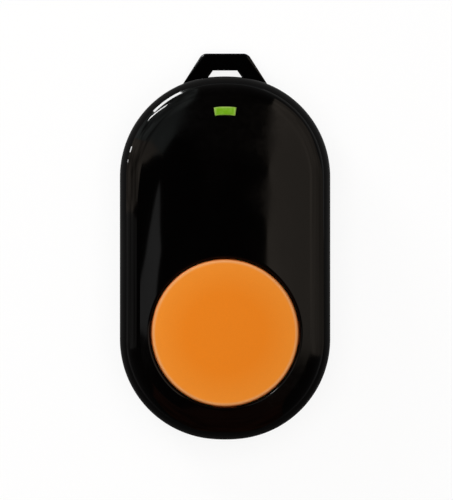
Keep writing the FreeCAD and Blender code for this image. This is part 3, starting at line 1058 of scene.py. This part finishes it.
def makeWindowGreen():
    w = limeWindow
    material, tree, shader = newMaterial("windowGreen", w["shader"])
    middle = Vector((0, (windowLow.y + windowHigh.y) / 2, 0))
    place = vectorMaths(tree, "SUBTRACT", ownPlace(tree), middle * mm)
    parts = splitUp(tree, vectorMaths(tree, "ABSOLUTE", place))
    ends = spread(tree, parts["X"], *(limit * mm for limit in w["ends"]))
    sides = spread(tree, parts["Y"], *(limit * mm for limit in w["sides"]), 0, w["sideShare"])
    # The paler border is a painted highlight along the window's rounded edges
    paintedEdgeHighlight = maths(tree, "MAXIMUM", ends, sides)
    grain = grainOf(tree, **w["grain"])
    both = maths(tree, "ADD", paintedEdgeHighlight, spread(tree, grain, *w["mottle"]), clamp=True)
    colour = ramp(tree, both, w["core"], w["paintedEdgeHighlight"])
    setInputs(tree, shader, {"Base Color": colour, "Normal": bump(tree, grain, *w["bump"])})
    return material


def makeBoardGreen():
    b = boardGreen
    material, tree, shader = newMaterial("solderMaskGreen")
    copper = useGroup(tree, boardTracks, Cells=b["cells"])
    grain = grainOf(tree, Scale=b["grainScale"])
    lacquer = ramp(tree, grain, b["deep"], b["lifted"])
    covered = ramp(tree, copper["Track"], lacquer, b["track"])
    colour = ramp(tree, copper["Pad"], covered, b["pad"])
    setInputs(tree, shader, {"Metallic": copper["Pad"]})
    setFinish(tree, shader, colour, grain, b["roughness"], copper["Track"], b["bump"])
    return material


print("modelling the front housing")
frontPiece = makeFrontHousing()
print("modelling the button")
buttonPiece = makeButton()
print("modelling the window")
windowPiece = makeWindow()
print("modelling the rear cover")
coverPiece = makeRearCover()
print("modelling the screws")
screwPieces = makeScrews()
print("modelling the two domes")
returnDomePiece = makeReturnDome()
snapDomePiece = makeSnapDome()

print("finishing the surfaces")
metal = {"Metallic": 1.0}
milky = {"Subsurface Weight": 0.4, "Subsurface Scale": 0.001}
finishes = {
    # name: darker and lighter colour, grain scale, roughness from and to, strength and depth of
    # the bumps, further settings, and how much finer the grain is in each direction
    "texturedBlack": (
        (0.004, 0.004, 0.004), (0.014, 0.0135, 0.013), 2600.0, (0.45, 0.62), (0.5, 0.05)
    ),
    "zincSteel": (
        (0.42, 0.43, 0.44), (0.62, 0.62, 0.61), 1800.0, (0.22, 0.4), (0.15, 0.01), metal
    ),
    "siliconeMilky": (
        (0.62, 0.63, 0.62), (0.74, 0.75, 0.74), 900.0, (0.4, 0.55), (0.1, 0.02), milky
    ),
    "gasketRubber": ((0.01, 0.01, 0.01), (0.03, 0.03, 0.03), 3000.0, (0.6, 0.8), (0.3, 0.03)),
    "cellSteel": (
        (0.55, 0.55, 0.54), (0.72, 0.72, 0.70), 1500.0, (0.2, 0.36), (0.1, 0.01), metal, (1, 12, 1)
    ),
    "holderNylon": (
        (0.012, 0.012, 0.012), (0.035, 0.035, 0.035), 2200.0, (0.45, 0.6), (0.2, 0.03)
    ),
    "contactSteel": (
        (0.60, 0.58, 0.55), (0.75, 0.73, 0.70), 1500.0, (0.18, 0.32), (0.1, 0.01), metal, (1, 8, 1)
    ),
    "chipEpoxy": ((0.012, 0.012, 0.013), (0.03, 0.03, 0.032), 4000.0, (0.5, 0.7), (0.3, 0.02)),
    "antennaCeramic": ((0.62, 0.58, 0.50), (0.76, 0.72, 0.64), 2500.0, (0.4, 0.6), (0.2, 0.02)),
    "capacitorCeramic": ((0.30, 0.19, 0.10), (0.45, 0.31, 0.18), 3000.0, (0.35, 0.5), (0.2, 0.01)),
    "tantalumYellow": ((0.62, 0.40, 0.06), (0.78, 0.54, 0.11), 2600.0, (0.4, 0.55), (0.2, 0.02)),
    "lampPackage": ((0.68, 0.70, 0.55), (0.82, 0.83, 0.68), 2600.0, (0.3, 0.45), (0.1, 0.01)),
    "switchPlastic": ((0.02, 0.02, 0.02), (0.05, 0.05, 0.05), 3200.0, (0.4, 0.55), (0.2, 0.02)),
}
made = {name: grainyMaterial(name, *values) for name, values in finishes.items()}
blackGloss = makeGlossBlack()


def dress(piece, *materials):
    piece.data.materials.clear()
    for material in materials:
        piece.data.materials.append(material)


dress(frontPiece, blackGloss)
dress(buttonPiece, makeSatinOrange())
dress(windowPiece, makeWindowGreen())
dress(coverPiece, blackGloss, made["texturedBlack"])
dress(returnDomePiece, made["siliconeMilky"])
dress(snapDomePiece, made["contactSteel"])
dress(cadNodes["circuit_board"], makeBoardGreen())
for screwPiece in screwPieces:
    dress(screwPiece, made["zincSteel"])
for finishName, nodeNames in {
    "siliconeMilky": ["silicone_return_dome"],
    "gasketRubber": ["housing_gasket"],
    "cellSteel": ["coin_cell", "timing_crystal"],
    "holderNylon": ["cell_holder"],
    "contactSteel": [
        "positive_contact", "negative_contact", "switch_frame", "snap_dome", "switch_leads"
    ],
    "chipEpoxy": ["radio_chip", "chip_resistors"],
    "antennaCeramic": ["chip_antenna"],
    "capacitorCeramic": ["chip_capacitors"],
    "tantalumYellow": ["reservoir_capacitor"],
    "lampPackage": ["indicator_led"],
    "switchPlastic": ["switch_base", "switch_plunger"],
}.items():
    for nodeName in nodeNames:
        dress(cadNodes[nodeName], made[finishName])

for piece, body, node, slotName in (
    (frontPiece, "housing", "front_shell", "housing_black"),
    (buttonPiece, "button", "panic_button", "button_orange"),
    (windowPiece, "housing", "indicator_window", "window_green"),
    (coverPiece, "housing", "rear_cover", "housing_black"),
    (returnDomePiece, "housing", "silicone_return_dome", "silicone_clear"),
    (snapDomePiece, "housing", "snap_dome", "contact_steel"),
):
    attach(piece, body)
    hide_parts(node)
for screwPiece in screwPieces:
    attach(screwPiece, "housing")
    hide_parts("cover_screws")

# Both domes get meshes of their own; the joints and heights listed with them are not used
for piece, joint, low, high in (
    (returnDomePiece, "button_press", domeLow, domeHigh),
    (snapDomePiece, "plunger_click", snapLow, snapHigh),
):
    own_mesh(piece)

# Floor, surroundings and lamps
print("setting up the studio")
studio = {
    "floorSize": 4.0,
    "floor": {"Base Color": (0.95, 0.95, 0.95), "Roughness": 0.7, "Specular IOR Level": 0.1},
    "floorShade": (0.05, 0.05, 0.05),  # what the floor throws back at the object
    "floorGlow": 0.87,  # how much of the floor's white doesn't depend on the lamps
    "floorMirrored": 0.08,  # how much of it polished black plastic shows
    "floorFade": (-36.0, 0.0),  # that share comes in between these two places along the fob
    "worldFill": 0.3,
    "horizon": [(0.0, 1.0), (0.02, 0.45), (0.12, 0.35), (0.2, 0.12), (0.6, 0.03), (0.88, 0.0)],
    "horizonTurn": (-0.9, 0.3, 0.1, 1),  # the horizon is dimmer towards the fob's lower end
    "clouds": {"Scale": 2.5, "Detail": 5.0},
    "cloudRange": (0.35, 0.65),
}


def backgroundRays(tree, mirrored=1.0):
    # 1 for what is seen directly or through glass, and the mirrored share in a reflection.
    path = addNode(tree, "LightPath").outputs
    total = path["Is Camera Ray"]
    for label, share in (("Is Glossy Ray", mirrored), ("Is Transmission Ray", 1.0)):
        total = maths(tree, "MULTIPLY_ADD", path[label], share, total, clamp=True)
    return total


def mixShaders(tree, share, first, second):
    inputs = {0: share, 1: first.outputs[0], 2: second.outputs[0]}
    return addNode(tree, "MixShader", inputs)


def makeFloor():
    clearSelection()
    bpy.ops.mesh.primitive_plane_add(size=studio["floorSize"], location=(0, 0, coverLow.z * mm))
    floor = bpy.context.object
    floor.name = "paleFloor"
    material, tree, pale = newMaterial("paleFloor", studio["floor"])
    dim = addNode(tree, "BsdfDiffuse", {"Color": studio["floorShade"]})
    white = mixShaders(tree, studio["floorGlow"], pale, addNode(tree, "Emission"))
    along = splitUp(tree, ownPlace(tree))["Y"]
    fade = [place * mm for place in studio["floorFade"]]
    mirrored = spread(tree, along, *fade, 0, studio["floorMirrored"])
    seen = mixShaders(tree, backgroundRays(tree, mirrored), dim, white)
    below = addNode(tree, "NewGeometry").outputs["Backfacing"]
    side = mixShaders(tree, below, seen, addNode(tree, "BsdfTransparent"))
    setInputs(tree, tree.nodes["Material Output"], {"Surface": side.outputs["Shader"]})
    floor.data.materials.append(material)


def makeWorld():
    # White at the horizon and below it, falling off to a dark ceiling.
    world = bpy.data.worlds.new("studio")
    bpy.context.scene.world = world
    world.use_nodes = True
    tree = world.node_tree
    direction = splitUp(tree, addNode(tree, "TexCoord").outputs["Generated"])
    greys = [(position, (level, level, level)) for position, level in studio["horizon"]]
    horizon = colourStops(tree, direction["Z"], greys)
    turned = spread(tree, direction["Y"], *studio["horizonTurn"])
    room = ramp(tree, 1.0, horizon, turned, "MULTIPLY")
    direct = addNode(tree, "LightPath").outputs["Is Camera Ray"]
    seen = tree.nodes["Background"]
    setInputs(tree, seen, {"Color": ramp(tree, direct, room, (1, 1, 1))})
    fill = addNode(tree, "Background", {"Strength": studio["worldFill"]})
    mix = mixShaders(tree, backgroundRays(tree), fill, seen)
    setInputs(tree, tree.nodes["World Output"], {"Surface": mix.outputs["Shader"]})


photo = {
    "width": 453,
    "height": 500,
    "scale": 0.18065,  # millimetres in a pixel
    "centre": (0.26, 1.44),
    "distance": 1500.0,
    "level": 9.0,  # height of the widest part, at which the scale holds
    "sensor": 36.0,
    "clip": (0.01, 10.0),
}
cameraPlace = Vector((*photo["centre"], photo["level"] + photo["distance"]))

lamps = {
    # name: compass turn from +X, degrees off the zenith, distance, width, height, brightness, roll
    "keyHigh": (134, 67, 0.6, 0.2, 0.035, 30.0, -50),
    "keyLow": (125, 84, 0.7, 0.25, 0.19, 26.0, 0),
    "keySide": (161, 86, 0.7, 0.04, 0.08, 20.0, 0),
    "keySmall": (168, 87, 0.7, 0.02, 0.06, 12.0, 0),
    "overheadFill": (0, 0, 0.8, 0.8, 0.8, 2.6, 0),
}

panelDistance = 1800.0
panels = {
    # name: brightness at the first corner and at the far end, how cloudy, colour, and the spots of
    # the picture, across and down, at which the polished front face shows its corners
    "rightPanel": (
        0.72, 0.26, 0.25, (1.0, 0.86, 0.72),
        [(266, 352), (267, 260), (269, 180), (270, 120), (276, 96), (296, 111), (311, 130),
         (320, 153), (325, 178), (326, 250), (326, 355), (318, 357), (312, 357), (306, 356),
         (298, 355), (284, 354)],
    ),
    "leftWedge": (
        0.42, 0.36, 0.15, (1.0, 1.0, 1.0),
        [(160, 182), (161, 250), (156, 300), (147, 338), (140, 345), (146, 250)],
    ),
    "leftStrip": (
        0.16, 0.22, 0.6, (1.0, 0.98, 0.95),
        [(135, 350), (135, 190), (123, 190), (123, 350)],
    ),
    "leftLine": (
        0.7, 0.8, 0.5, (1.0, 1.0, 1.0),
        [(128.5, 340), (128.5, 190), (126.5, 190), (126.5, 340)],
    ),
    "upperLeft": (
        0.26, 0.4, 0.8, (0.9, 1.0, 0.98),
        [(196, 86), (188, 108), (178, 132), (164, 152), (146, 160), (133, 140), (150, 110),
         (174, 90)],
    ),
    "lowerLeft": (
        0.4, 0.4, 0.6, (1.0, 0.86, 0.72),
        [(158, 152), (146, 164), (136, 176), (127, 196), (122, 196), (124, 165), (130, 138),
         (150, 140)],
    ),
    "topStrip": (
        0.16, 0.16, 0.5, (0.85, 0.95, 1.0),
        [(264, 88), (186, 88), (196, 80), (226, 77), (256, 80)],
    ),
    "lowerEnd": (
        0.07, 0.08, 0.5, (1.0, 0.3, 0.15),
        [(290, 380), (150, 380), (150, 396), (168, 417), (195, 431), (226, 434), (257, 431),
         (284, 417)],
    ),
}


def addLamp(name, turn, offZenith, distance, width, height, brightness, roll):
    turn = math.radians(turn)
    lean = math.radians(offZenith)
    level = math.sin(lean)
    direction = Vector((math.cos(turn) * level, math.sin(turn) * level, math.cos(lean)))
    data = bpy.data.lights.new(name, "AREA")
    data.shape = "RECTANGLE"
    data.size = width
    data.size_y = height
    data.energy = brightness * math.pi * width * height
    lamp = bpy.data.objects.new(name, data)
    bpy.context.scene.collection.objects.link(lamp)
    lamp.location = direction * distance
    facing = direction.to_track_quat("Z", "Y") @ Quaternion((0, 0, 1), math.radians(roll))
    lamp.rotation_euler = facing.to_euler()
    lamp.visible_camera = False


def mirrorSpot(pixel):
    # Where the line of sight through a pixel ends, after the front face has mirrored it.
    x = photo["centre"][0] + (pixel[0] - photo["width"] / 2) * photo["scale"]
    y = photo["centre"][1] - (pixel[1] - photo["height"] / 2) * photo["scale"]
    place = Vector((x, y, 0))
    nearest, outward = nearestSpoke(place)
    inset = (nearest - place).length
    edge = frontHousing["edgeRound"]
    place.z = crownHeight(x, y)
    normal = crownNormal(x, y)
    if inset < edge:
        lean = 1 - inset / edge
        rounded = outward * lean + up * math.sqrt(1 - lean**2)
        normal = (rounded + normal * inset / edge).normalized()
    sight = (place - cameraPlace).normalized()
    return place + sight.reflect(normal) * panelDistance


def addPanel(name, nearGlow, farGlow, clouds, colour, pixels):
    # A big dim panel of the room that the polished front face shows.
    clearSelection()
    bpy.ops.mesh.primitive_circle_add(vertices=len(pixels), fill_type="NGON")
    panel = nameNew(name)
    corners = [mirrorSpot(pixel) for pixel in pixels]
    placeRing(panel, corners)
    bpy.ops.mesh.quads_convert_to_tris()
    bpy.ops.object.mode_set(mode="OBJECT")
    material, tree, shader = newMaterial(name)
    tree.nodes.remove(shader)
    start = corners[0].x
    end = max((corner.x for corner in corners), key=lambda x: abs(x - start))
    across = splitUp(tree, ownPlace(tree))["X"]
    strength = spread(tree, across, start * mm, end * mm, nearGlow, farGlow)
    noise = grainOf(tree, **studio["clouds"])
    cloud = spread(tree, noise, *studio["cloudRange"], 1 - clouds, 1 + clouds)
    inputs = {"Color": colour, "Strength": maths(tree, "MULTIPLY", strength, cloud)}
    glow = addNode(tree, "Emission", inputs)
    setInputs(tree, tree.nodes["Material Output"], {"Surface": glow.outputs["Emission"]})
    panel.data.materials.append(material)
    panel.visible_camera = False


makeFloor()
makeWorld()
for lampName, lampValues in lamps.items():
    addLamp(lampName, *lampValues)
bpy.data.objects["overheadFill"].visible_glossy = False  # it lights, and isn't mirrored
for panelName, panelValues in panels.items():
    addPanel(panelName, *panelValues)

cameraData = bpy.data.cameras.new("camera")
cameraData.sensor_width = photo["sensor"]
cameraData.lens = photo["sensor"] * photo["distance"] / (photo["height"] * photo["scale"])
cameraData.clip_start, cameraData.clip_end = photo["clip"]
camera = bpy.data.objects.new("camera", cameraData)
bpy.context.scene.collection.objects.link(camera)
camera.location = cameraPlace * mm
bpy.context.scene.camera = camera
bpy.context.scene.view_settings.view_transform = "Standard"
